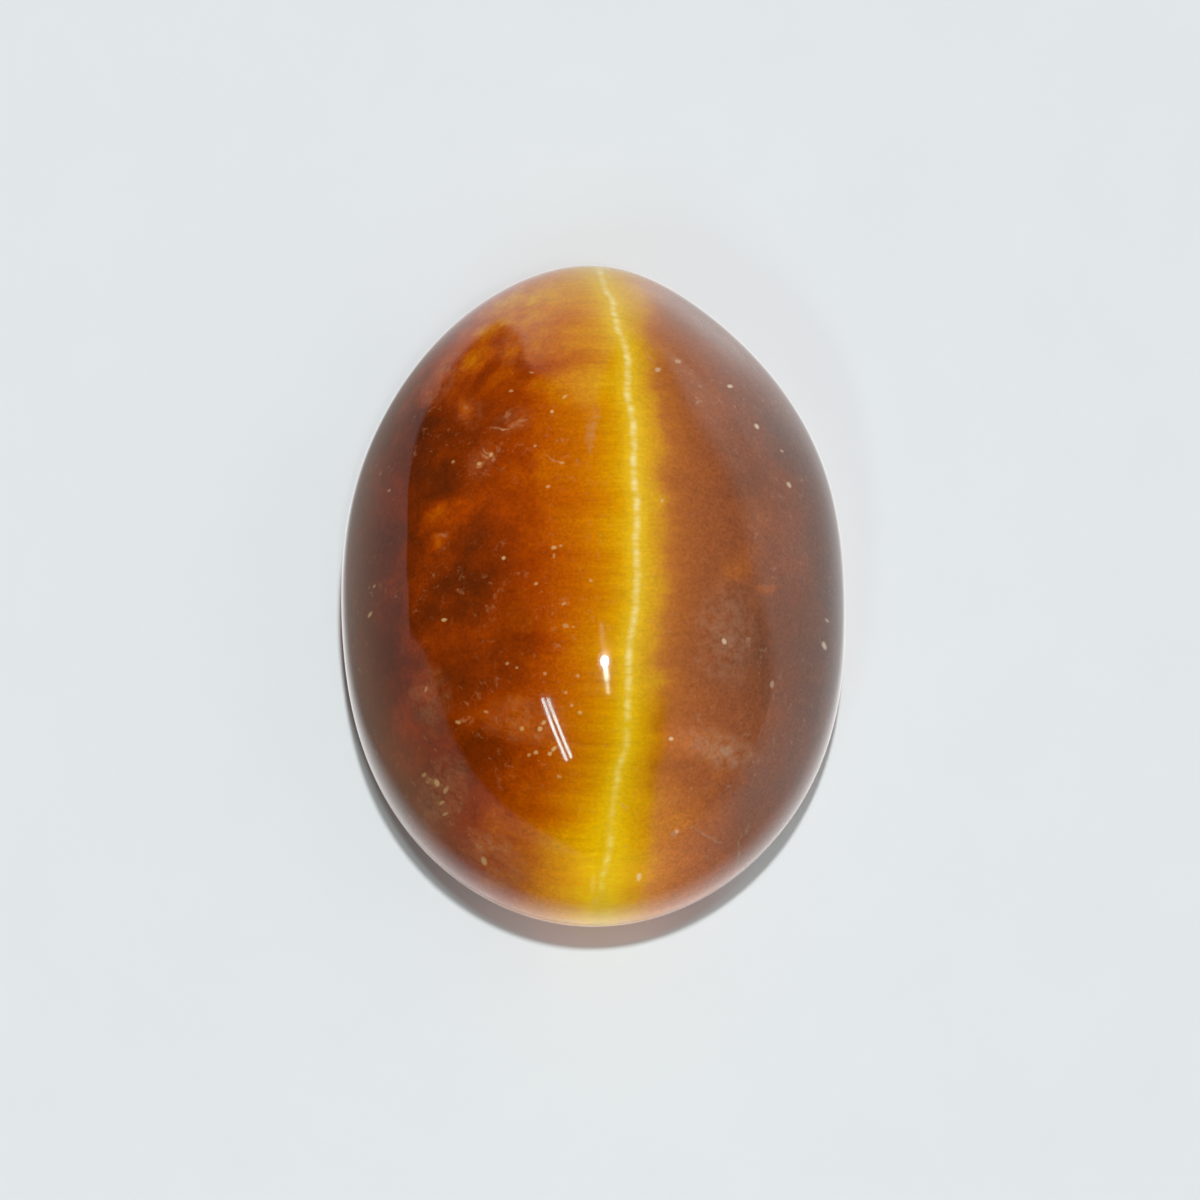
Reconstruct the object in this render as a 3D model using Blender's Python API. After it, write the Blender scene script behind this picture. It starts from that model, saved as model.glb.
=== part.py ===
"""A polished oval cabochon of golden-brown cat's-eye quartz.

One solid: a flat ground back, a softly rounded lower edge, and a high dome
over a hand-ground oval outline that is fuller at its near end (-Y) and a
little pointed at its far end (+Y).

Metres, +Z up. The origin is at the middle of the stone's plan box, on the
plane of the flat back. X is the width, Y is the length.
"""

import math

import bmesh
import bpy

# ---------------------------------------------------------------- dimensions
MM = 0.001

HALF_WIDTH = 6.0 * MM        # half of the oval across X
HALF_LENGTH = 8.0 * MM       # half of the oval along Y
GIRDLE_HEIGHT = 1.05 * MM    # height of the widest line above the back
DOME_HEIGHT = 5.75 * MM      # rise of the dome above the girdle
EDGE_INSET = 0.55 * MM       # how far the back lies inside the girdle
EDGE_TURN = math.radians(74) # how far the lower edge has turned at the back

# The stone was shaped by hand, so the oval is a little uneven. Each wave
# swells or thins the outline by a share of its radius.
SWELL = 1.0092               # all round
NEAR_END_FULL = -0.0256      # one wave, fuller at the near end
LEFT_FULL = -0.0063          # one wave, fuller on the left
SHOULDER_X = 0.0045          # two waves, along the axes
SHOULDER_XY = -0.0069        # two waves, along the diagonals
TRIANGLE_X = 0.0038          # three waves
TRIANGLE_Y = -0.0050
FLANK_X = -0.0067            # four waves, the straight flanks
FLANK_XY = 0.0021
POINT_X = -0.0027            # five waves, narrowing the far end
POINT_Y = 0.0053
RIPPLE_X = -0.0027           # six waves, the flat upper right flank
RIPPLE_XY = -0.0009
TIP_FULL = 0.0192            # the slight point left at the far end,
TIP_AT = math.radians(88)    # where it is,
TIP_SPREAD = math.radians(14)  # and how wide

SEGMENTS = 84                # around the outline
EDGE_RINGS = 4               # from the back to the girdle
DOME_RINGS = 17              # from the girdle to the crown
OUTLINE_SAMPLES = 720        # for finding the middle of the outline


# ------------------------------------------------------------------- shape
def oval_radius(angle):
    """Distance from the shaping centre to the outline, in plan."""
    ellipse = 1.0 / math.hypot(math.cos(angle) / HALF_WIDTH,
                               math.sin(angle) / HALF_LENGTH)
    waves = (
        LEFT_FULL * math.cos(angle) + NEAR_END_FULL * math.sin(angle)
        + SHOULDER_X * math.cos(2 * angle) + SHOULDER_XY * math.sin(2 * angle)
        + TRIANGLE_X * math.cos(3 * angle) + TRIANGLE_Y * math.sin(3 * angle)
        + FLANK_X * math.cos(4 * angle) + FLANK_XY * math.sin(4 * angle)
        + POINT_X * math.cos(5 * angle) + POINT_Y * math.sin(5 * angle)
        + RIPPLE_X * math.cos(6 * angle) + RIPPLE_XY * math.sin(6 * angle)
    )
    from_tip = math.remainder(angle - TIP_AT, 2 * math.pi) / TIP_SPREAD
    return ellipse * (SWELL + waves + TIP_FULL * math.exp(-from_tip * from_tip))


def outline_middle():
    """Middle of the outline's plan box."""
    xs, ys = [], []
    for i in range(OUTLINE_SAMPLES):
        angle = 2 * math.pi * i / OUTLINE_SAMPLES
        radius = oval_radius(angle)
        xs.append(radius * math.cos(angle))
        ys.append(radius * math.sin(angle))
    return (min(xs) + max(xs)) / 2, (min(ys) + max(ys)) / 2


MIDDLE_X, MIDDLE_Y = outline_middle()


def edge_level(step):
    """Inset and height on the lower edge; step runs 0 (back) to 1 (girdle)."""
    turn = EDGE_TURN * (1.0 - step)
    inset = EDGE_INSET * (1.0 - math.cos(turn)) / (1.0 - math.cos(EDGE_TURN))
    height = GIRDLE_HEIGHT * (1.0 - math.sin(turn) / math.sin(EDGE_TURN))
    return inset, height


def place(verts, inset, shrink, height):
    """Set a ring of vertices on the oval, inset by a length, then shrunk."""
    for i, vert in enumerate(verts):
        angle = 2 * math.pi * i / SEGMENTS
        radius = (oval_radius(angle) - inset) * shrink
        vert.co = (radius * math.cos(angle) - MIDDLE_X,
                   radius * math.sin(angle) - MIDDLE_Y,
                   height)


def grow_ring(bm, verts):
    """Extrude a ring's edges and return the new ring in the same order."""
    edges = [bm.edges.get((verts[i], verts[(i + 1) % SEGMENTS]))
             for i in range(SEGMENTS)]
    made = bmesh.ops.extrude_edge_only(bm, edges=edges)
    new = {v for v in made["geom"] if isinstance(v, bmesh.types.BMVert)}
    ring = []
    for vert in verts:
        ring.append(next(e.other_vert(vert) for e in vert.link_edges
                         if e.other_vert(vert) in new))
    return ring


def cabochon_mesh():
    bm = bmesh.new()
    # the flat back is one face
    base = bmesh.ops.create_circle(bm, cap_ends=True, segments=SEGMENTS,
                                   radius=HALF_WIDTH)["verts"]
    base = sorted(base, key=lambda v: math.atan2(v.co.y, v.co.x) % (2 * math.pi))
    inset, height = edge_level(0.0)
    ring = base
    place(ring, inset, 1.0, height)
    # the rounded lower edge, up to the girdle
    for k in range(1, EDGE_RINGS + 1):
        ring = grow_ring(bm, ring)
        inset, height = edge_level(k / EDGE_RINGS)
        place(ring, inset, 1.0, height)
    # the dome, elliptical in section, up to the crown
    for k in range(1, DOME_RINGS + 1):
        ring = grow_ring(bm, ring)
        rise = 0.5 * math.pi * k / (DOME_RINGS + 0.5)
        place(ring, 0.0, math.cos(rise), GIRDLE_HEIGHT + DOME_HEIGHT * math.sin(rise))
    # one more ring drawn together into the crown point
    ring = grow_ring(bm, ring)
    bmesh.ops.pointmerge(
        bm, verts=ring,
        merge_co=(-MIDDLE_X, -MIDDLE_Y, GIRDLE_HEIGHT + DOME_HEIGHT))
    bmesh.ops.recalc_face_normals(bm, faces=bm.faces)
    mesh = bpy.data.meshes.new("cabochon")
    bm.to_mesh(mesh)
    bm.free()
    mesh.shade_smooth()
    mesh.set_sharp_from_angle(angle=math.radians(35))
    return mesh


def amber_quartz():
    """Golden-brown fibrous quartz with a polished surface."""
    mat = bpy.data.materials.new("golden_brown_quartz")
    mat.use_nodes = True
    shader = mat.node_tree.nodes["Principled BSDF"]
    shader.inputs["Base Color"].default_value = (0.36, 0.115, 0.018, 1.0)
    shader.inputs["Roughness"].default_value = 0.08
    shader.inputs["Metallic"].default_value = 0.0
    shader.inputs["IOR"].default_value = 1.544
    mat.diffuse_color = (0.36, 0.115, 0.018, 1.0)
    return mat


def main():
    for old in list(bpy.data.objects):
        bpy.data.objects.remove(old, do_unlink=True)
    stone = bpy.data.objects.new("cabochon", cabochon_mesh())
    stone.data.materials.append(amber_quartz())
    bpy.context.scene.collection.objects.link(stone)


main()
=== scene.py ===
"""A polished cat's-eye cabochon of golden-brown quartz on plain pale paper.

The stone is one smooth closed mesh, and its colour, fibres, eye line and
inclusions are drawn by nodes in the stone's own coordinates, in millimetres.
"""

import math

import bpy
from mathutils import Matrix, Vector


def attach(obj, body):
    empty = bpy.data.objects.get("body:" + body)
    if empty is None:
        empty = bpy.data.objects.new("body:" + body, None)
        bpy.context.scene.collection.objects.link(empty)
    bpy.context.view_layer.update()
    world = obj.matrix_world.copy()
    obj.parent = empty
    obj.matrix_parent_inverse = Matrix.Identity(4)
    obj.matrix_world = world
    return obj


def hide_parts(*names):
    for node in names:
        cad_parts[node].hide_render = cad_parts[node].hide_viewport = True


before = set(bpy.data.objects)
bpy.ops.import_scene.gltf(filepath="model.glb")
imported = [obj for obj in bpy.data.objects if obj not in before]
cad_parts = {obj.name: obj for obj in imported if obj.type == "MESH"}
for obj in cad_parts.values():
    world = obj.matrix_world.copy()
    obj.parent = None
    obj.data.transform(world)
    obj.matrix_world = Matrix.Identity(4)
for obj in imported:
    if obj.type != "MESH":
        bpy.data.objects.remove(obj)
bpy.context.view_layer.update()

MM = 0.001

# ------------------------------------------------------------ stone's shape
# The same oval and dome as the solid model.
HALF_WIDTH = 6.0 * MM
HALF_LENGTH = 8.0 * MM
GIRDLE_HEIGHT = 1.05 * MM
DOME_HEIGHT = 5.75 * MM
EDGE_INSET = 0.55 * MM
EDGE_TURN = math.radians(74)

SWELL = 1.0092
NEAR_END_FULL = -0.0256
LEFT_FULL = -0.0063
SHOULDER_X = 0.0045
SHOULDER_XY = -0.0069
TRIANGLE_X = 0.0038
TRIANGLE_Y = -0.0050
FLANK_X = -0.0067
FLANK_XY = 0.0021
POINT_X = -0.0027
POINT_Y = 0.0053
RIPPLE_X = -0.0027
RIPPLE_XY = -0.0009
TIP_FULL = 0.0192
TIP_AT = math.radians(88)
TIP_SPREAD = math.radians(14)

SEGMENTS = 320
EDGE_RINGS = 14
DOME_RINGS = 104
BACK_RINGS = 12


def oval_radius(angle):
    ellipse = 1.0 / math.hypot(math.cos(angle) / HALF_WIDTH,
                               math.sin(angle) / HALF_LENGTH)
    waves = (
        LEFT_FULL * math.cos(angle) + NEAR_END_FULL * math.sin(angle)
        + SHOULDER_X * math.cos(2 * angle) + SHOULDER_XY * math.sin(2 * angle)
        + TRIANGLE_X * math.cos(3 * angle) + TRIANGLE_Y * math.sin(3 * angle)
        + FLANK_X * math.cos(4 * angle) + FLANK_XY * math.sin(4 * angle)
        + POINT_X * math.cos(5 * angle) + POINT_Y * math.sin(5 * angle)
        + RIPPLE_X * math.cos(6 * angle) + RIPPLE_XY * math.sin(6 * angle)
    )
    from_tip = math.remainder(angle - TIP_AT, 2 * math.pi) / TIP_SPREAD
    return ellipse * (SWELL + waves + TIP_FULL * math.exp(-from_tip * from_tip))


def outline_middle():
    xs, ys = [], []
    for i in range(720):
        angle = 2 * math.pi * i / 720
        radius = oval_radius(angle)
        xs.append(radius * math.cos(angle))
        ys.append(radius * math.sin(angle))
    return (min(xs) + max(xs)) / 2, (min(ys) + max(ys)) / 2


MIDDLE_X, MIDDLE_Y = outline_middle()


def stone_mesh():
    """Closed fine mesh: flat back, rounded lower edge, elliptical dome."""
    angles = [2 * math.pi * i / SEGMENTS for i in range(SEGMENTS)]
    radii = [oval_radius(a) for a in angles]
    levels = []                       # (inset, shrink, height)
    for k in range(1, BACK_RINGS + 1):
        levels.append((EDGE_INSET, k / BACK_RINGS, 0.0))
    for k in range(1, EDGE_RINGS + 1):
        turn = EDGE_TURN * (1.0 - k / EDGE_RINGS)
        inset = EDGE_INSET * (1.0 - math.cos(turn)) / (1.0 - math.cos(EDGE_TURN))
        height = GIRDLE_HEIGHT * (1.0 - math.sin(turn) / math.sin(EDGE_TURN))
        levels.append((inset, 1.0, height))
    for k in range(1, DOME_RINGS + 1):
        rise = 0.5 * math.pi * k / (DOME_RINGS + 1)
        levels.append((0.0, math.cos(rise),
                       GIRDLE_HEIGHT + DOME_HEIGHT * math.sin(rise)))
    verts = [(-MIDDLE_X, -MIDDLE_Y, 0.0)]
    for inset, shrink, height in levels:
        for angle, radius in zip(angles, radii):
            r = (radius - inset) * shrink
            verts.append((r * math.cos(angle) - MIDDLE_X,
                          r * math.sin(angle) - MIDDLE_Y, height))
    crown = len(verts)
    verts.append((-MIDDLE_X, -MIDDLE_Y, GIRDLE_HEIGHT + DOME_HEIGHT))
    faces = []
    n = SEGMENTS
    for i in range(n):
        j = (i + 1) % n
        faces.append((0, 1 + j, 1 + i))
    for k in range(len(levels) - 1):
        a, b = 1 + k * n, 1 + (k + 1) * n
        for i in range(n):
            j = (i + 1) % n
            faces.append((a + i, a + j, b + j, b + i))
    last = 1 + (len(levels) - 1) * n
    for i in range(n):
        j = (i + 1) % n
        faces.append((last + i, last + j, crown))
    mesh = bpy.data.meshes.new("cabochon_stone")
    mesh.from_pydata(verts, [], faces)
    mesh.validate()
    mesh.update()
    mesh.shade_smooth()
    mesh.set_sharp_from_angle(angle=math.radians(14))
    return mesh


# ------------------------------------------------------------ node helpers
class Graph:
    """Short names for adding and joining shader nodes."""

    def __init__(self, tree):
        self.tree = tree
        self.nodes = tree.nodes
        self.links = tree.links

    def put(self, socket, value):
        if isinstance(value, bpy.types.NodeSocket):
            self.links.new(value, socket)
        else:
            socket.default_value = value

    def new(self, kind, **props):
        node = self.nodes.new(kind)
        for name, value in props.items():
            setattr(node, name, value)
        return node

    def math(self, op, a, b=None, c=None, clamp=False):
        node = self.new("ShaderNodeMath", operation=op, use_clamp=clamp)
        for i, v in enumerate((a, b, c)):
            if v is not None:
                self.put(node.inputs[i], v)
        return node.outputs[0]

    def add(self, a, b):
        return self.math("ADD", a, b)

    def sub(self, a, b):
        return self.math("SUBTRACT", a, b)

    def mul(self, a, b):
        return self.math("MULTIPLY", a, b)

    def madd(self, a, b, c):
        return self.math("MULTIPLY_ADD", a, b, c)

    def size(self, a):
        return self.math("ABSOLUTE", a)

    def vmath(self, op, a, b=None, c=None, scale=None):
        node = self.new("ShaderNodeVectorMath", operation=op)
        self.put(node.inputs[0], a)
        if b is not None:
            self.put(node.inputs[1], b)
        if c is not None:
            self.put(node.inputs[2], c)
        if scale is not None:
            self.put(node.inputs["Scale"], scale)
        return node.outputs["Value"] if op in ("LENGTH", "DISTANCE", "DOT_PRODUCT") else node.outputs[0]

    def split(self, vec):
        node = self.new("ShaderNodeSeparateXYZ")
        self.put(node.inputs[0], vec)
        return node.outputs[0], node.outputs[1], node.outputs[2]

    def join(self, x, y, z):
        node = self.new("ShaderNodeCombineXYZ")
        for i, v in enumerate((x, y, z)):
            self.put(node.inputs[i], v)
        return node.outputs[0]

    def noise(self, vec, scale, detail=2.0, rough=0.5, lacunarity=2.0, distortion=0.0, colour=False):
        node = self.new("ShaderNodeTexNoise", noise_dimensions="3D")
        self.put(node.inputs["Vector"], vec)
        node.inputs["Scale"].default_value = scale
        node.inputs["Detail"].default_value = detail
        node.inputs["Roughness"].default_value = rough
        node.inputs["Lacunarity"].default_value = lacunarity
        node.inputs["Distortion"].default_value = distortion
        return node.outputs["Color"] if colour else node.outputs[0]

    def swing(self, *args, **kw):
        """Noise around nought."""
        return self.sub(self.noise(*args, **kw), 0.5)

    def cells(self, vec, scale, feature="F1", randomness=1.0):
        node = self.new("ShaderNodeTexVoronoi", voronoi_dimensions="3D", feature=feature)
        self.put(node.inputs["Vector"], vec)
        node.inputs["Scale"].default_value = scale
        node.inputs["Randomness"].default_value = randomness
        return node.outputs["Distance"], node.outputs["Color"]

    def span(self, value, a, b, c=0.0, d=1.0, smooth=True):
        node = self.new("ShaderNodeMapRange",
                        interpolation_type="SMOOTHSTEP" if smooth else "LINEAR", clamp=not smooth)
        self.put(node.inputs["Value"], value)
        for name, v in (("From Min", a), ("From Max", b), ("To Min", c), ("To Max", d)):
            self.put(node.inputs[name], v)
        return node.outputs[0]

    def curve(self, value, points, lo, hi, low_out, high_out):
        """A smooth curve through (input, output) points."""
        node = self.new("ShaderNodeFloatCurve")
        self.put(node.inputs["Value"], self.span(value, lo, hi, 0.0, 1.0, smooth=False))
        track = node.mapping.curves[0]
        rows = sorted(((x - lo) / (hi - lo), (y - low_out) / (high_out - low_out)) for x, y in points)
        while len(track.points) < len(rows):
            track.points.new(0.5, 0.5)
        for point, (x, y) in zip(track.points, rows):
            point.location = (x, y)
            point.handle_type = "AUTO"
        node.mapping.update()
        return self.madd(node.outputs[0], high_out - low_out, low_out)

    def ramp(self, value, stops, lo=0.0, hi=1.0, interpolation="LINEAR"):
        node = self.new("ShaderNodeValToRGB")
        node.color_ramp.interpolation = interpolation
        self.put(node.inputs[0], self.span(value, lo, hi, 0.0, 1.0, smooth=False))
        ramp = node.color_ramp
        while len(ramp.elements) < len(stops):
            ramp.elements.new(0.5)
        for element, (at, colour) in zip(ramp.elements, stops):
            element.position = (at - lo) / (hi - lo)
        for element, (at, colour) in zip(ramp.elements, stops):
            element.color = colour
        return node.outputs[0]

    def mix(self, factor, a, b, blend="MIX"):
        node = self.new("ShaderNodeMix", data_type="RGBA", blend_type=blend, clamp_factor=True)
        self.put(node.inputs[0], factor)
        self.put(node.inputs[6], a)
        self.put(node.inputs[7], b)
        return node.outputs[2]

    def tint(self, colour, factor):
        """Colour times a number."""
        return self.vmath("SCALE", colour, scale=factor)

    def plan(self, p):
        """(x, x, x) and (y, y, y) of a place, for the soft ovals."""
        x, y, z = self.split(p)
        return self.join(x, x, x), self.join(y, y, y)

    def patches(self, plan, rows, edge=0.0):
        """Sum of soft ovals seen from above, each 1 in its middle and 0 outside it.

        Each row is (x, y, half long, half wide, turn, strength). Three ovals
        are worked out at a time, one in each part of a vector.
        """
        xs, ys = plan
        total = None
        for i in range(0, len(rows), 3):
            three = list(rows[i:i + 3])
            while len(three) < 3:
                three.append((0.0, 0.0, 1.0, 1.0, 0.0, 0.0))
            ux, uy, u0, vx, vy, v0 = [], [], [], [], [], []
            for x, y, half_long, half_wide, turn, strength in three:
                c, s = math.cos(math.radians(turn)), math.sin(math.radians(turn))
                ux.append(c / half_long)
                uy.append(s / half_long)
                u0.append(-(c * x + s * y) / half_long)
                vx.append(-s / half_wide)
                vy.append(c / half_wide)
                v0.append((s * x - c * y) / half_wide)
            u = self.vmath("MULTIPLY_ADD", ys, uy, self.vmath("MULTIPLY_ADD", xs, ux, u0))
            u = self.vmath("MULTIPLY", u, u)
            v = self.vmath("MULTIPLY_ADD", ys, vy, self.vmath("MULTIPLY_ADD", xs, vx, v0))
            far = self.vmath("MULTIPLY_ADD", v, v, u)
            node = self.new("ShaderNodeMapRange", data_type="FLOAT_VECTOR",
                            interpolation_type="SMOOTHSTEP", clamp=False)
            self.put(node.inputs["Vector"], far)
            node.inputs[7].default_value = (1.0, 1.0, 1.0)
            node.inputs[8].default_value = (edge, edge, edge)
            node.inputs[9].default_value = (0.0, 0.0, 0.0)
            node.inputs[10].default_value = (1.0, 1.0, 1.0)
            part = self.vmath("DOT_PRODUCT", node.outputs["Vector"], [row[5] for row in three])
            total = part if total is None else self.add(total, part)
        return total


# ------------------------------------------------------------ stone's finish
# The eye line's place across the stone, along its length (mm).
EYE_LINE = (
    (-8.1, 0.10), (-7.5, 0.22), (-6.9, 0.36), (-6.2, 0.42), (-5.9, 0.49), (-5.44, 0.55),
    (-5.2, 0.66), (-4.9, 0.73), (-4.4, 0.76), (-3.6, 0.80), (-2.8, 0.81), (-2.3, 0.88),
    (-1.7, 0.97), (-0.9, 1.00), (-0.3, 0.97), (0.3, 1.00), (0.9, 0.98), (1.5, 0.92),
    (2.4, 0.93), (3.07, 0.89), (3.4, 0.79), (4.0, 0.79), (4.7, 0.76), (5.1, 0.67),
    (5.4, 0.56), (5.8, 0.49), (6.2, 0.44), (6.62, 0.29), (7.08, 0.18), (8.1, 0.02),
)

# Body colour across the stone, by the distance from the eye line (mm); the bright gold near nought is partly the
# stone's own colour and partly painted light, the eye's band of reflected light.
BODY = (
    (-7.0, (0.110, 0.018, 0.002)),
    (-5.6, (0.150, 0.022, 0.002)),
    (-4.6, (0.215, 0.028, 0.001)),
    (-3.7, (0.280, 0.036, 0.001)),
    (-3.0, (0.335, 0.044, 0.0005)),
    (-2.4, (0.405, 0.061, 0.0005)),
    (-1.8, (0.495, 0.094, 0.0005)),
    (-1.3, (0.570, 0.140, 0.0005)),
    (-0.85, (0.640, 0.208, 0.0005)),
    (-0.42, (0.720, 0.318, 0.001)),
    (-0.15, (0.785, 0.440, 0.008)),
    (0.08, (0.800, 0.480, 0.020)),
    (0.32, (0.725, 0.375, 0.014)),
    (0.55, (0.640, 0.280, 0.020)),
    (0.78, (0.505, 0.168, 0.027)),
    (1.03, (0.420, 0.126, 0.027)),
    (1.40, (0.360, 0.104, 0.029)),
    (2.05, (0.295, 0.086, 0.031)),
    (2.80, (0.250, 0.078, 0.032)),
    (3.50, (0.226, 0.074, 0.034)),
    (4.30, (0.196, 0.072, 0.038)),
    (5.40, (0.155, 0.066, 0.042)),
)

# Soft ovals that lean the body colour towards the gold of the band:
# (x, y, half long, half wide, turn, how much). Minus leans to the dark side.
GOLDEN = (
    (-3.02, 4.74, 0.36, 0.22, 40, 0.13),
    (-3.04, 3.40, 0.50, 0.26, 110, 0.34),
    (-3.40, 0.66, 0.95, 0.50, 22, 0.46),
    (-3.70, 0.10, 0.42, 0.24, 10, 0.40),
    (-0.95, 5.05, 1.00, 0.60, 10, 0.28),
    (-0.50, 3.75, 1.30, 0.75, 10, 0.35),
    (-1.00, 1.00, 0.55, 1.60, 0, 0.15),
    (-0.30, -6.90, 1.30, 0.70, 0, 0.22),
    (3.75, 0.90, 0.80, 0.70, 40, 0.20),
    (4.00, -1.00, 0.40, 0.20, 20, 0.55),
    (3.40, -0.60, 1.10, 0.45, 50, 0.25),
    (2.85, -4.90, 1.10, 0.70, -8, 0.24),
    (2.20, -6.00, 1.60, 0.80, -12, 0.20),
    (-1.80, 6.20, 2.00, 1.00, 20, 0.34), (-3.90, 4.60, 1.50, 0.55, 55, 0.20),
    (3.00, 3.60, 1.10, 0.55, -40, 0.14),
    (-2.60, 5.20, 2.10, 1.35, 35, 0.15),
)
DARK = (
    (-2.60, 4.30, 0.85, 0.24, 60, 0.42),
    (-1.72, 4.35, 0.60, 0.26, 105, 0.30),
    (-2.25, 5.30, 0.50, 0.30, 70, 0.34),
    (-3.55, 2.30, 1.10, 0.85, 60, 0.10),
    (-2.40, -0.60, 1.50, 1.20, 20, 0.36),
    (-2.10, 3.00, 0.60, 0.30, 70, 0.25),
    (-1.25, -2.55, 0.90, 0.40, -6, 0.34),
    (-2.90, -3.20, 1.00, 1.05, 0, 0.32),
    (-2.70, -5.10, 0.85, 1.10, 25, 0.42),
    (-0.90, -6.35, 1.20, 0.35, -12, 0.20),
    (1.55, 3.40, 1.40, 0.30, 108, 0.15),
    (4.40, 2.90, 1.10, 0.60, 115, 0.22),
    (3.90, -2.70, 1.50, 0.30, 92, 0.14),
    (-3.20, -1.35, 1.50, 0.90, 10, 0.34),
)
# Pale specks: (x, y, half long, half wide, turn, strength)
SPECKS = (
    (-5.22, -0.57, 0.05, 0.05, 0, 0.45), (-5.32, -1.20, 0.09, 0.06, 50, 0.60),
    (-3.97, -3.33, 0.08, 0.05, 70, 0.45), (-4.03, -5.11, 0.07, 0.05, 0, 0.45),
    (-3.72, -5.34, 0.12, 0.07, 120, 0.70), (-3.51, -5.53, 0.10, 0.07, 40, 0.45),
    (-3.60, -5.75, 0.09, 0.05, 0, 0.50), (-3.53, -5.98, 0.09, 0.04, 0, 0.45),
    (-2.61, -7.00, 0.12, 0.07, 130, 0.75), (-2.13, -0.55, 0.06, 0.06, 0, 0.85),
    (-0.95, -0.38, 0.09, 0.06, 10, 0.75), (-0.79, -0.34, 0.05, 0.05, 0, 0.50),
    (-0.95, -0.58, 0.08, 0.04, 90, 0.45), (-1.37, -1.22, 0.06, 0.05, 0, 0.60),
    (-0.08, -1.19, 0.06, 0.05, 0, 0.45), (-3.54, -1.83, 0.09, 0.05, -10, 0.85),
    (-0.72, -1.72, 0.09, 0.05, 20, 0.50), (-0.67, -2.23, 0.10, 0.07, -20, 0.45),
    (-0.50, -2.26, 0.05, 0.04, 0, 0.50), (-2.05, -3.02, 0.06, 0.05, 0, 0.50),
    (-1.82, -3.13, 0.05, 0.05, 0, 0.45), (-1.16, -3.30, 0.06, 0.05, 0, 0.50),
    (-0.39, -3.37, 0.06, 0.05, 0, 0.50), (-2.55, -4.04, 0.08, 0.04, -15, 0.45),
    (-3.21, -4.18, 0.09, 0.05, -30, 0.55), (-1.70, -4.48, 0.07, 0.06, 0, 0.65),
    (-1.28, -4.51, 0.08, 0.07, 0, 0.80), (-1.19, -4.38, 0.08, 0.06, 30, 0.80),
    (-0.67, -3.74, 0.06, 0.05, 0, 0.50), (-0.53, -4.03, 0.06, 0.05, 0, 0.50),
    (-0.34, -4.19, 0.07, 0.06, 0, 0.60), (-0.95, -4.95, 0.10, 0.06, 35, 0.90),
    (-1.05, -5.05, 0.07, 0.06, 0, 0.85), (-1.54, -5.05, 0.06, 0.05, 0, 0.50),
    (-1.37, -5.01, 0.07, 0.06, 0, 0.70), (-0.83, -5.54, 0.08, 0.05, -20, 0.45),
    (-0.02, -7.62, 0.20, 0.10, 80, 0.42), (0.02, -7.88, 0.14, 0.08, 20, 0.50),
    (1.05, -7.46, 0.10, 0.07, 60, 0.55), (1.80, -4.69, 0.08, 0.06, 0, 0.65),
    (1.94, -6.56, 0.07, 0.05, 0, 0.45), (3.22, 4.13, 0.09, 0.07, 20, 0.95),
    (3.85, 3.13, 0.10, 0.07, 110, 1.00), (4.61, 1.77, 0.10, 0.07, 110, 0.85),
    (4.45, 2.64, 0.06, 0.05, 0, 0.50), (1.50, 4.29, 0.10, 0.08, 30, 0.60),
    (1.98, 4.60, 0.10, 0.08, 0, 0.45), (1.59, 0.81, 0.07, 0.05, 90, 0.45),
    (3.05, -2.41, 0.10, 0.07, 110, 0.85), (5.45, -1.86, 0.11, 0.08, 100, 0.95),
    (5.52, -1.23, 0.07, 0.05, 0, 0.65), (4.19, -3.17, 0.12, 0.06, 80, 0.45),
    (-2.44, 2.06, 0.09, 0.06, 60, 0.65), (-2.72, 1.87, 0.07, 0.06, 0, 0.70),
    (-3.34, 2.02, 0.06, 0.05, 0, 0.50), (-1.00, 3.07, 0.06, 0.06, 0, 0.85),
    (-0.70, 3.46, 0.10, 0.05, 40, 0.60), (-1.97, 3.72, 0.07, 0.05, 0, 0.55),
    (-1.09, 1.13, 0.08, 0.05, 10, 0.55), (-1.40, 2.19, 0.05, 0.05, 0, 0.50),
    (-4.87, 1.69, 0.05, 0.05, 0, 0.45), (-1.48, 4.18, 0.08, 0.04, -20, 0.45),
    (-0.76, 1.72, 0.07, 0.05, 0, 0.50),
)
# Thin pale wisps, curved by the same drift as everything else.
WISPS = (
    (-2.16, 2.74, 0.28, 0.045, -14, 0.75), (-1.82, 2.84, 0.22, 0.10, 28, 0.55),
    (-2.05, 3.10, 0.20, 0.08, 55, 0.35), (-2.42, 2.12, 0.22, 0.05, 125, 0.55),
    (-0.93, 1.93, 0.26, 0.035, -30, 0.40), (-3.10, -4.17, 0.20, 0.04, 0, 0.35),
    (-3.88, -5.22, 0.26, 0.05, -35, 0.40), (-2.74, -6.83, 0.22, 0.08, -50, 0.35),
    (0.72, -6.14, 0.13, 0.03, -42, 0.85), (2.50, 3.53, 0.10, 0.03, 60, 0.30),
    (3.05, -4.74, 0.30, 0.12, 0, 0.30), (1.30, 4.70, 0.30, 0.05, 115, 0.35),
    (-3.02, 3.47, 0.13, 0.08, 110, 0.30), (-2.52, 2.06, 0.15, 0.06, 120, 0.50),
    (-2.64, 1.86, 0.12, 0.07, 30, 0.45), (-2.36, 1.94, 0.09, 0.05, 80, 0.40),
    (-3.60, 0.22, 0.16, 0.09, 20, 0.35), (2.45, -6.50, 0.34, 0.045, -15, 0.50),
    (2.78, -6.62, 0.24, 0.045, -25, 0.40), (3.45, -6.60, 0.40, 0.05, 78, 0.40),
    (1.85, -6.52, 0.10, 0.07, 0, 0.45), (3.65, -6.20, 0.20, 0.045, 60, 0.30),
)
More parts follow.
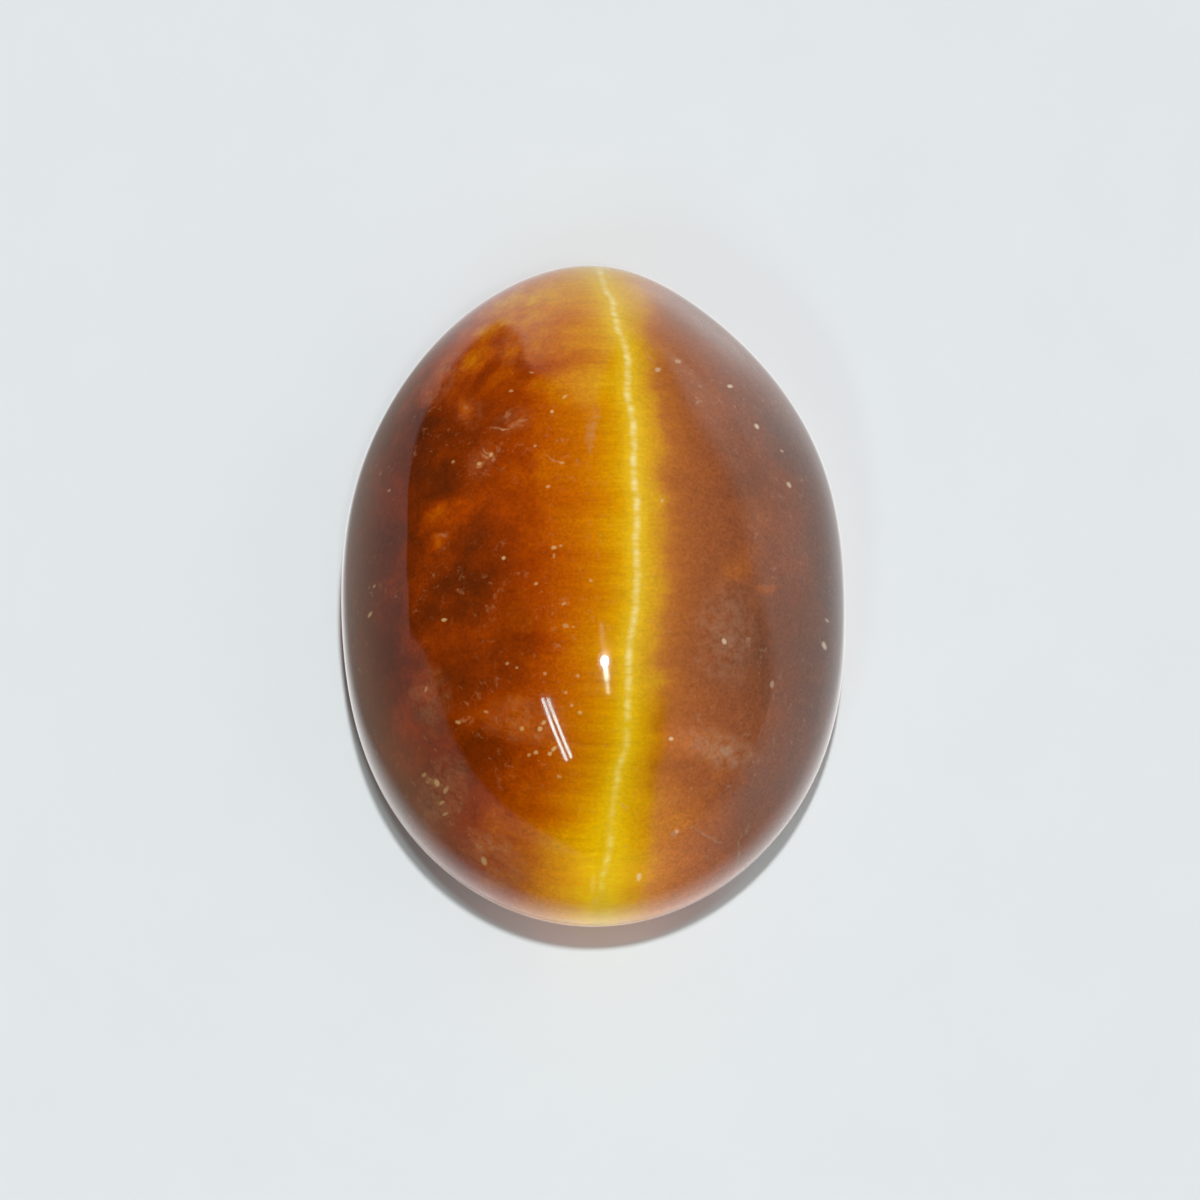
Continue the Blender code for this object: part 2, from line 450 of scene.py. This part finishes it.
# Soft ovals that are brighter or darker than the rest.
LIFTS = (
    (-3.00, 4.80, 1.90, 1.20, 35, 0.08), (-2.75, 0.50, 0.90, 0.80, 0, 0.20),
    (-1.95, -2.40, 0.70, 1.50, 0, -0.22), (0.00, -8.10, 2.70, 1.20, 0, 0.30),
    (2.00, -4.70, 0.80, 0.60, 0, 0.22), (2.40, -7.30, 1.60, 0.90, 20, 0.26),
    (3.70, 1.40, 0.70, 0.90, 0, -0.13), (4.80, 0.30, 0.60, 1.30, 0, 0.18),
    (-2.60, -4.90, 1.00, 0.80, 0, -0.14), (2.30, 6.20, 1.50, 0.80, -35, -0.24),
    (-4.00, 3.50, 0.90, 0.80, 0, -0.10),
)
# Where the small dots and flecks crowd.
CROWDED = (
    (-1.0, -3.8, 2.6, 1.5, 80, 0.9), (-3.9, -4.9, 1.6, 0.8, 70, 0.8),
    (-2.0, 2.2, 1.8, 1.0, 60, 0.6), (2.6, 4.0, 1.6, 1.0, -30, 0.7),
    (-2.6, -6.6, 1.5, 0.8, -40, 0.6), (3.0, -5.0, 1.6, 0.9, 0, 0.6),
)
# Milky hazes.
HAZES = (
    (-3.90, -3.60, 0.90, 0.60, 100, 0.10), (-3.60, -5.60, 1.00, 0.70, 60, 0.12),
    (-1.60, -4.30, 1.20, 0.60, -10, 0.09), (-2.40, -7.05, 1.00, 0.60, -35, 0.16),
    (-1.60, 5.20, 1.20, 1.00, 40, 0.10), (-1.90, 2.90, 0.60, 0.45, 30, 0.07),
    (3.10, -2.20, 1.60, 0.90, 85, 0.11), (-3.60, 4.45, 1.00, 0.42, 60, 0.13),
    (-2.60, 6.00, 1.10, 0.50, 25, 0.13), (-2.95, 3.30, 0.60, 0.40, 110, 0.07),
    (-2.60, 1.95, 0.65, 0.40, 70, 0.06), (-0.05, 2.60, 0.75, 0.17, 90, 0.26),
    (2.90, -4.80, 1.20, 0.50, -8, 0.18),
)


def stone_material():
    mat = bpy.data.materials.new("cats_eye_quartz")
    mat.use_nodes = True
    tree = mat.node_tree
    tree.nodes.clear()
    g = Graph(tree)
    out = g.new("ShaderNodeOutputMaterial")
    shader = g.new("ShaderNodeBsdfPrincipled")
    g.links.new(shader.outputs[0], out.inputs["Surface"])

    # millimetres from the shaping centre
    place = g.new("ShaderNodeTexCoord").outputs["Object"]
    p = g.vmath("MULTIPLY_ADD", place, (1000, 1000, 1000),
                (MIDDLE_X * 1000, MIDDLE_Y * 1000, 0.0))
    x, y, z = g.split(p)

    # slow and quick drifts that bend every edge inside the stone
    slow = g.vmath("SUBTRACT", g.noise(p, 0.75, 2.0, 0.55, colour=True), (0.5, 0.5, 0.5))
    quick = g.vmath("SUBTRACT", g.noise(p, 4.2, 2.0, 0.6, colour=True), (0.5, 0.5, 0.5))
    drifted = g.vmath("MULTIPLY_ADD", slow, (0.55, 0.55, 0.55), p)
    drifted = g.vmath("MULTIPLY_ADD", quick, (0.22, 0.22, 0.22), drifted)
    tiny = g.vmath("SUBTRACT", g.noise(p, 13.0, 1.0, 0.5, colour=True), (0.5, 0.5, 0.5))
    plan = g.plan(drifted)

    # fibres lie along X, in a slightly wavy bundle
    wave = g.mul(g.swing(p, 0.45, 1.0), 0.5)
    fy = g.add(y, wave)
    fine = g.swing(g.join(g.mul(x, 0.75), g.mul(fy, 12.5), g.mul(z, 12.5)), 1.0, 2.0, 0.6)
    middling = g.swing(g.join(g.mul(x, 0.42), g.mul(fy, 4.4), g.mul(z, 4.4)), 1.0, 2.0, 0.55)
    broad = g.swing(g.join(g.mul(x, 0.20), g.mul(fy, 1.25), g.mul(z, 1.25)), 1.0, 2.0, 0.5)

    # distance across from the eye line
    eye_x = g.curve(y, EYE_LINE, -8.3, 8.3, -0.5, 1.5)
    across = g.sub(x, eye_x)
    away = g.size(across)

    # fibres end raggedly at the edges of the gold band
    loose = g.span(away, 0.12, 0.70)
    ragged = g.add(g.add(g.mul(fine, 0.22), g.mul(middling, 0.36)), g.mul(broad, 0.70))
    reach = g.madd(g.mul(ragged, loose), 1.0, across)

    # mottling and placed patches lean the colour to the gold or to the dark
    off_band = g.span(away, 0.9, 2.6)
    left = g.span(across, -0.4, -1.6)
    mottle = g.add(g.mul(g.swing(drifted, 0.46, 2.0, 0.55), 1.30),
                   g.mul(g.swing(drifted, 1.60, 2.0, 0.60), 0.80))
    mottle = g.mul(g.mul(mottle, off_band), g.madd(left, 0.20, 0.80))
    cloud = g.madd(g.swing(drifted, 1.9, 2.0, 0.6), 1.8, 1.0)
    lean = g.madd(g.patches(plan, GOLDEN), cloud, mottle)
    lean = g.sub(lean, g.mul(g.patches(plan, DARK), cloud))
    lean = g.madd(g.span(y, -5.2, -7.6), 0.38, lean)
    lean = g.madd(g.span(y, 4.7, 7.2), 0.33, lean)
    turned = g.mul(reach, g.sub(1.0, g.math("MINIMUM", lean, 0.9)))
    colour = g.ramp(turned, [(at, (*c, 1.0)) for at, c in BODY], -7.2, 5.6, "LINEAR")

    # painted sheen: the fibres show as light and dark, most in the gold band; grain varies the tone, and the near end
    # is brighter
    in_band = g.span(away, 1.9, 0.3)
    sheen = g.mul(g.add(g.mul(fine, 0.30), g.mul(middling, 0.16)), g.madd(in_band, 0.80, 0.20))
    tone = g.split(tiny)[0]
    grain = g.add(g.mul(tone, 0.60), g.mul(g.swing(drifted, 5.5, 2.0, 0.6), 0.34))
    lift = g.madd(g.span(y, -5.2, -7.4), g.mul(g.span(across, -2.4, -0.3), 0.36), 1.0)
    lift = g.madd(g.span(y, 2.4, 4.6), -0.04, lift)
    lift = g.madd(g.span(y, -2.5, -5.2), g.mul(g.span(across, 0.5, 1.4), 0.20), lift)
    lift = g.add(lift, g.patches(plan, LIFTS))
    lit = g.madd(grain, g.madd(in_band, -0.45, 1.0), sheen)
    colour = g.tint(colour, g.madd(lit, lift, lift))
    # towards the near end the band's right side is a pure gold too
    pure = g.mul(g.span(y, -3.0, -4.4), g.span(across, 1.10, 0.75))
    colour = g.vmath("MULTIPLY", colour, g.join(1.0, 1.0, g.madd(pure, -0.85, 1.0)))

    # the flanks are a paler, greyer brown low down
    flank = g.mul(g.span(z, 4.6, 2.6), g.mul(g.span(g.size(x), 2.6, 4.3), g.span(across, 0.0, -2.0, 0.0, 0.50)))
    colour = g.mix(flank, colour, (0.268, 0.110, 0.033, 1.0))

    # milky hazes, cloudy flecks, wisps and specks
    side = g.span(across, -1.0, 1.2)
    milk = g.mix(side, (0.60, 0.27, 0.105, 1.0), (0.54, 0.34, 0.22, 1.0))
    crowd = g.math("MINIMUM", g.add(g.span(g.noise(p, 0.55, 2.0, 0.6), 0.40, 0.62), g.patches(g.plan(p), CROWDED)), 1.0)
    flecks = g.span(g.noise(p, 4.6, 3.0, 0.66), 0.56, 0.78)
    flecks = g.mul(flecks, g.mul(crowd, g.madd(in_band, -0.22, 0.38)))
    haze = g.mul(g.patches(plan, HAZES), g.madd(g.swing(drifted, 4.0, 2.0, 0.68), 6.0, 1.0))
    haze = g.math("MAXIMUM", haze, 0.0)
    shred = g.span(g.split(quick)[1], -0.14, 0.12, 0.45, 1.25)
    haze = g.add(g.add(haze, flecks), g.mul(g.patches(plan, WISPS), g.mul(shred, 0.85)))
    colour = g.mix(haze, colour, milk)

    shaken = g.vmath("MULTIPLY_ADD", tiny, (0.03, 0.03, 0.03), p)
    dots = g.mul(scattered_dots(g, shaken), g.madd(crowd, 0.85, 0.15))
    dots = g.madd(g.patches(g.plan(shaken), SPECKS), 0.72, dots)
    dots = g.mul(dots, g.span(away, 0.15, 0.5, 0.25, 1.0))
    pale = g.mix(side, (0.86, 0.58, 0.23, 1.0), (0.84, 0.68, 0.48, 1.0))
    raised = g.math("MAXIMUM", lift, 1.0)
    colour = g.mix(g.math("MINIMUM", dots, 0.85), colour, g.tint(pale, raised))

    # painted highlight: the eye line, the fibres' reflected light, as a beaded bright thread in a soft painted glow
    thread_off = g.add(across, g.add(g.mul(g.swing(g.join(0.3, g.mul(y, 2.6), 0.0), 1.0, 1.0), 0.10),
                                     g.mul(g.swing(g.join(4.3, g.mul(y, 9.0), 0.0), 1.0, 1.0), 0.07)))
    beads = g.span(g.noise(g.join(7.1, g.mul(y, 3.6), 0.0), 1.0, 2.0, 0.65), 0.36, 0.66, 0.30, 1.0)
    beads = g.mul(beads, g.span(fine, -0.16, 0.12, 0.68, 1.0))
    whole = g.mul(g.span(g.size(g.add(y, 4.43)), 0.02, 0.13), g.span(g.size(y), 7.95, 7.2))
    whole = g.mul(whole, g.sub(1.0, g.mul(g.span(g.size(g.add(y, 6.35)), 0.60, 0.25), 0.62)))
    eye_line_highlight = g.mul(g.span(g.size(thread_off), 0.130, 0.0), g.mul(beads, g.mul(whole, 0.82)))
    eye_glow_highlight = g.mul(g.span(away, 0.34, 0.0), g.madd(broad, 1.0, 0.55))
    colour = g.mix(g.mul(eye_glow_highlight, 0.45), colour, (0.86, 0.56, 0.026, 1.0))
    bright = g.mix(g.span(y, -2.6, -4.6), (0.98, 0.82, 0.34, 1.0), (0.95, 0.73, 0.17, 1.0))
    colour = g.mix(eye_line_highlight, colour, g.tint(bright, raised))

    # paler edge below the girdle, partly the ground edge's own paler tone and partly painted light for the bright rim
    # along the lower edge; and the matt back
    low = g.span(g.madd(g.swing(p, 1.4, 2.0), 0.9, z), 1.45, 0.60)
    colour = g.mix(g.mul(low, 0.62), colour, (0.82, 0.68, 0.58, 1.0))
    back = g.span(z, 0.05, 0.005)
    lap = g.noise(g.join(g.mul(x, 0.5), g.mul(y, 9.0), 0.0), 2.0, 2.0, 0.7)
    back_colour = g.mix(0.45, colour, (0.34, 0.20, 0.12, 1.0))
    back_colour = g.tint(back_colour, g.span(lap, 0.3, 0.7, 0.86, 1.10))
    colour = g.mix(back, colour, back_colour)
    g.put(shader.inputs["Base Color"], colour)

    # high polish, satin towards the ground edge, matt on the back
    rough = g.span(g.noise(p, 1.1, 1.0), 0.35, 0.70, 0.035, 0.075)
    rough = g.math("MAXIMUM", rough, g.span(z, 0.95, 0.55, 0.0, 0.30))
    rough = g.math("MAXIMUM", rough, g.mul(back, g.span(lap, 0.3, 0.7, 0.42, 0.58)))
    g.put(shader.inputs["Roughness"], rough)

    swell = g.new("ShaderNodeBump")
    swell.inputs["Strength"].default_value = 1.0
    swell.inputs["Distance"].default_value = 0.000006
    g.put(swell.inputs["Height"], g.noise(p, 0.55, 1.0))
    g.put(shader.inputs["Normal"], swell.outputs[0])

    shader.inputs["IOR"].default_value = 1.544
    return mat


def scattered_dots(g, p):
    """Small pale dots through the whole stone."""
    total = None
    for scale, size, share, strength in ((2.3, 0.100, 0.34, 0.30), (5.2, 0.150, 0.30, 0.20)):
        spot, tone = g.cells(p, scale)
        r, gg, b = g.split(tone)
        radius = g.madd(gg, size * 0.9, size * 0.35)
        one = g.span(g.math("DIVIDE", spot, radius), 1.0, 0.0)
        one = g.mul(g.mul(one, g.span(r, share, share - 0.12)), g.mul(g.madd(b, 0.8, 0.4), strength))
        total = one if total is None else g.add(total, one)
    return total


def add_stone():
    stone = bpy.data.objects.new("cabochon_stone", stone_mesh())
    bpy.context.scene.collection.objects.link(stone)
    stone.data.materials.append(stone_material())
    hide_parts("cabochon")
    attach(stone, "root")
    return stone


# ------------------------------------------------------------ surroundings
AMBIENT = 0.320         # radiance of the soft light from above
KEY = 2.06              # painted light: the paper's soft glow, which lightens the shade on it
GLOW = 0.04             # the paper's own soft glow


def add_floor():
    half = 0.6
    mesh = bpy.data.meshes.new("paper")
    depth = -0.00001
    mesh.from_pydata([(-half, -half, depth), (half, -half, depth),
                      (half, half, depth), (-half, half, depth)], [], [(0, 1, 2, 3)])
    floor = bpy.data.objects.new("paper", mesh)
    bpy.context.scene.collection.objects.link(floor)
    mat = bpy.data.materials.new("pale_paper")
    mat.use_nodes = True
    g = Graph(mat.node_tree)
    shader = mat.node_tree.nodes["Principled BSDF"]
    place = g.new("ShaderNodeTexCoord").outputs["Object"]
    p = g.vmath("SCALE", place, scale=1000.0)
    x, y, z = g.split(p)
    tooth = g.madd(g.swing(p, 0.35, 2.0, 0.6), 0.030, 1.0)
    paper = g.tint((0.737, 0.766, 0.787), tooth)
    # painted shadow tint: where the stone's shadow falls the paper is tinted warm, as by light through the stone,
    # darker to the left, lighter in the middle and cooler at the right
    shade = g.vmath("LENGTH", g.join(g.mul(g.add(x, 0.07), 1 / 6.12), g.mul(g.add(y, 0.24), 1 / 8.24), 0.0))
    painted_shadow_tint = g.mix(g.span(x, 2.2, 4.4), (0.94, 0.74, 0.70, 1.0), (1.0, 1.02, 1.06, 1.0))
    painted_shadow_tint = g.tint(painted_shadow_tint, g.mul(g.span(x, -5.0, -0.5, 0.50, 1.22), g.span(x, 0.8, 2.8, 1.0, 0.79)))
    paper = g.mix(g.span(shade, 1.0, 0.975), paper, g.vmath("MULTIPLY", paper, painted_shadow_tint))
    # painted reflection: in mirror rays only, the paper is dimmed by direction and distance round the stone,
    # and made dark beyond its far left and its right
    glossy = g.new("ShaderNodeLightPath").outputs["Is Glossy Ray"]
    r = g.vmath("LENGTH", g.join(x, y, 0.0))
    turn = g.mul(g.math("ARCTAN2", x, y), 180 / math.pi)
    off = g.vmath("LENGTH", g.join(g.mul(x, 1 / 6.0), g.mul(y, 1 / 8.0), 0.0))
    level = g.curve(turn, ((-180, 0.10), (-150, 0.24), (-120, 0.34), (-95, 0.42), (-72, 0.49), (-55, 0.44), (-40, 0.50), (-15, 1.0), (-2, 0.92),
                           (15, 1.08), (40, 1.20), (58, 0.92), (75, 0.78), (95, 0.80), (120, 0.80), (150, 0.22), (180, 0.10)),
                    -180, 180, 0, 1.3)
    behind = g.mul(g.span(turn, 4, 16), g.span(turn, 43, 27))
    close = g.span(g.math("DIVIDE", 10.0, r), 0.0, 0.75, 0.42, 1.62, smooth=False)
    level = g.mul(level, g.madd(behind, g.sub(close, 1.0), 1.0))
    far_near_side = g.mul(g.mul(g.span(turn, 95, 125), g.span(r, 18, 60)), 1.0)
    level = g.mul(level, g.madd(far_near_side, -0.65, 1.0))
    rim = g.curve(turn, ((-180, 1.26), (-150, 1.46), (-132, 1.46), (-112, 1.26), (-60, 1.18), (-20, 1.20),
                         (20, 1.55), (100, 1.60), (125, 1.52), (150, 1.46), (180, 1.26)), -180, 180, 1.0, 1.8)
    dim = g.madd(g.span(off, 1.06, rim), g.sub(level, 1.0), 1.0)
    far_left = g.curve(turn, ((-80, 200), (-73, 120), (-66, 50), (-57, 28), (-45, 20), (-31, 17), (-20, 16)),
                       -80, -20, 0, 200)
    cut = g.mul(g.span(g.sub(r, far_left), -3.0, 2.5), g.mul(g.span(turn, -80, -77), g.span(turn, -22, -25)))
    dim = g.mul(dim, g.madd(cut, -0.96, 1.0))
    lit = g.madd(glossy, g.sub(dim, 1.0), 1.0)
    g.put(shader.inputs["Base Color"], g.tint(paper, lit))
    shader.inputs["Roughness"].default_value = 0.9
    shader.inputs["Specular IOR Level"].default_value = 0.0
    # painted reflection: in mirror rays only, the paper right beside the stone glows, so the polish mirrors it as lit
    # paper where its shade lies
    painted_glow_beside = g.mul(g.mul(glossy, g.span(off, g.span(y, 0.0, -7.0, 1.14, 1.44), 1.03)), 0.53 / GLOW)
    g.put(shader.inputs["Emission Color"], g.tint((0.86, 0.82, 0.81), g.add(lit, painted_glow_beside)))
    shader.inputs["Emission Strength"].default_value = GLOW
    floor.data.materials.append(mat)
    return floor


def add_world():
    world = bpy.data.worlds.new("studio")
    bpy.context.scene.world = world
    world.use_nodes = True
    tree = world.node_tree
    tree.nodes.clear()
    g = Graph(tree)
    out = g.new("ShaderNodeOutputWorld")
    rays = g.new("ShaderNodeLightPath")
    way = g.new("ShaderNodeTexCoord").outputs["Generated"]
    dx, dy, dz = g.split(way)
    rise = g.mul(g.math("ARCSINE", dz), 180 / math.pi)         # elevation, degrees
    turn = g.mul(g.math("ARCTAN2", dx, dy), 180 / math.pi)     # 0 at the back, 90 right
    # what the polish mirrors: a bright pane at the back and a paler low wall
    # on the right, and darkness elsewhere
    edge = g.curve(rise, ((-5, -24), (7, -24), (16, -24), (27, -17.5), (40, -6.5), (52, 10)), -5, 52, -30, 20)
    edge_soft = g.span(rise, 16, 38, 1.2, 7.0)
    from_left = g.math("DIVIDE", g.sub(turn, edge), edge_soft)
    top = g.curve(turn, ((-28, 46), (-10, 46), (-1, 42), (6, 30), (12, 14), (18, 4), (24, 2), (30, 8), (36, 15), (45, 18),
                         (60, 17), (75, 14), (90, 4), (110, 0)),
                  -28, 110, 0, 60)
    top_soft = g.span(turn, 6, 34, 9.0, 6.5)
    under = g.math("DIVIDE", g.sub(top, rise), top_soft)
    pane = g.mul(g.span(from_left, -1.0, 1.0), g.span(under, -1.0, 1.0))
    pane = g.mul(pane, g.span(turn, 112, 90))
    level = g.curve(rise, ((-5, 0.80), (0, 0.68), (6, 0.50), (12, 0.44), (18, 0.36), (25, 0.27), (35, 0.25), (52, 0.27)), -5, 52, 0, 1)
    level = g.madd(g.span(turn, 12, 34), g.sub(g.span(turn, 36, 52, 0.90, 0.64), level), level)
    # and a dim low wall behind the viewer's left
    wall = g.curve(turn, ((-180, -6), (-168, 5), (-158, 8), (-140, 10), (-120, 11), (-105, 12), (-95, 10), (-86, 0), (-78, -6)),
                   -180, -78, -10, 20)
    wall = g.mul(g.span(g.sub(wall, rise), -2.2, 2.2), 0.30)
    mirrored = g.tint(g.join(0.98, 1.0, 0.99), g.madd(pane, level, g.add(wall, 0.005)))

    soft = g.mul(g.span(rise, 8, 58, 0.30, 1.0), g.madd(dx, 0.80, 1.0))
    soft = g.tint((AMBIENT * 1.04, AMBIENT, AMBIENT * 0.985), soft)
    seen = g.new("ShaderNodeBackground")
    g.put(seen.inputs["Color"], g.mix(rays.outputs["Is Glossy Ray"], soft, mirrored))
    pale = g.new("ShaderNodeBackground")
    pale.inputs["Color"].default_value = (0.765, 0.787, 0.806, 1.0)
    both = g.new("ShaderNodeMixShader")
    g.links.new(rays.outputs["Is Camera Ray"], both.inputs[0])
    g.links.new(seen.outputs[0], both.inputs[1])
    g.links.new(pale.outputs[0], both.inputs[2])
    g.links.new(both.outputs[0], out.inputs["Surface"])


def area_lamp(name, centre, aim, size_x, size_y, radiance, along=None, colour=(1, 1, 1)):
    """A flat lamp of a given radiance, facing aim, its long side along a direction."""
    data = bpy.data.lights.new(name, "AREA")
    data.shape = "RECTANGLE" if along else "ELLIPSE"
    data.size = size_x
    data.size_y = size_y
    data.energy = radiance * math.pi * size_x * size_y * (1.0 if along else math.pi / 4)
    data.color = colour
    lamp = bpy.data.objects.new(name, data)
    bpy.context.scene.collection.objects.link(lamp)
    back = (centre - aim).normalized()
    across = along if along else Vector((1, 0, 0))
    side = (across - back * across.dot(back)).normalized()
    rest = back.cross(side)
    lamp.matrix_world = Matrix((
        (side.x, rest.x, back.x, centre.x),
        (side.y, rest.y, back.y, centre.y),
        (side.z, rest.z, back.z, centre.z),
        (0, 0, 0, 1)))
    lamp.visible_camera = False
    return lamp


def toward(azimuth, elevation):
    """Unit direction: azimuth 0 to the back (+Y), 90 to the right (+X)."""
    a, e = math.radians(azimuth), math.radians(elevation)
    return Vector((math.sin(a) * math.cos(e), math.cos(a) * math.cos(e), math.sin(e)))


def add_lights():
    # key lamp, high and a little behind the stone
    data = bpy.data.lights.new("key", "SUN")
    data.energy = KEY
    data.angle = math.radians(4.2)
    data.color = (0.985, 0.998, 1.0)
    key = bpy.data.objects.new("key", data)
    bpy.context.scene.collection.objects.link(key)
    key.rotation_mode = "QUATERNION"
    key.rotation_quaternion = toward(9, 77).to_track_quat("Z", "Y")
    key.visible_glossy = False

    far = 0.45
    # small bright lamp, near the viewer, in its own halo
    spot = Vector((0.27, -2.95, 6.38)) * MM
    area_lamp("small_lamp", spot + toward(166.5, 72.3) * far, spot, 0.0245, 0.0210, 55.0)
    area_lamp("small_lamp_halo", spot + toward(166.5, 72.3) * (far + 0.01), spot, 0.046, 0.042, 2.6,
              colour=(1.0, 0.72, 0.95))
    # its upright stand, seen as a faint streak above it and a brighter one below
    a = Vector((0.23, -2.10, 6.59)) * MM + toward(159.5, 82.2) * far
    b = Vector((0.38, -3.67, 6.14)) * MM + toward(167.1, 63.2) * far
    middle = spot + toward(166.5, 72.3) * far
    area_lamp("stand_above", (a + middle) / 2, spot, (a - middle).length, 0.0125, 1.5, along=a - middle,
              colour=(1.0, 0.96, 0.86))
    # the lower part is brighter and wider near the lamp
    knee = middle + (b - middle) * 0.55
    area_lamp("stand_below", (knee + middle) / 2, spot, (knee - middle).length, 0.0140, 21.0, along=knee - middle,
              colour=(0.66, 1.0, 0.95))
    area_lamp("stand_foot", (b + knee) / 2, spot, (b - knee).length, 0.0110, 9.5, along=b - knee,
              colour=(0.72, 1.0, 0.82))
    # a pair of slim tubes side by side
    for name, top, low in (
        ("tube_left", (Vector((-1.17, -3.77, 6.00)), -140.8, 55.0), (Vector((-0.59, -5.18, 5.40)), -165.0, 41.4)),
        ("tube_right", (Vector((-1.05, -3.76, 6.02)), -143.8, 56.4), (Vector((-0.46, -5.14, 5.43)), -167.3, 42.9)),
    ):
        a = top[0] * MM + toward(top[1], top[2]) * far
        b = low[0] * MM + toward(low[1], low[2]) * far
        area_lamp(name, (a + b) / 2, (top[0] + low[0]) * MM / 2, (a - b).length, 0.0082, 18.5, along=a - b,
                  colour=(0.68, 1.0, 1.0))


def add_camera():
    data = bpy.data.cameras.new("camera")
    data.sensor_width = 36.0
    data.lens = 377.25
    data.clip_start = 0.01
    data.clip_end = 5.0
    camera = bpy.data.objects.new("camera", data)
    bpy.context.scene.collection.objects.link(camera)
    tilt = math.radians(15)
    back = Vector((0, -math.sin(tilt), math.cos(tilt)))
    up = Vector((0, math.cos(tilt), math.sin(tilt)))
    target = Vector((-MIDDLE_X, -MIDDLE_Y, 2.0 * MM))
    target += Vector((0.1312 * MM, 0, 0)) - up * (0.3745 * MM)
    camera.location = target + back * 0.300
    camera.rotation_mode = "QUATERNION"
    camera.rotation_quaternion = back.to_track_quat("Z", "Y")
    bpy.context.scene.camera = camera
    return camera


def set_colour_view():
    view = bpy.context.scene.view_settings
    view.view_transform = "Standard"
    view.look = "None"
    view.exposure = 0.0
    view.gamma = 1.0


set_colour_view()
add_camera()
add_world()
add_lights()
add_floor()
add_stone()
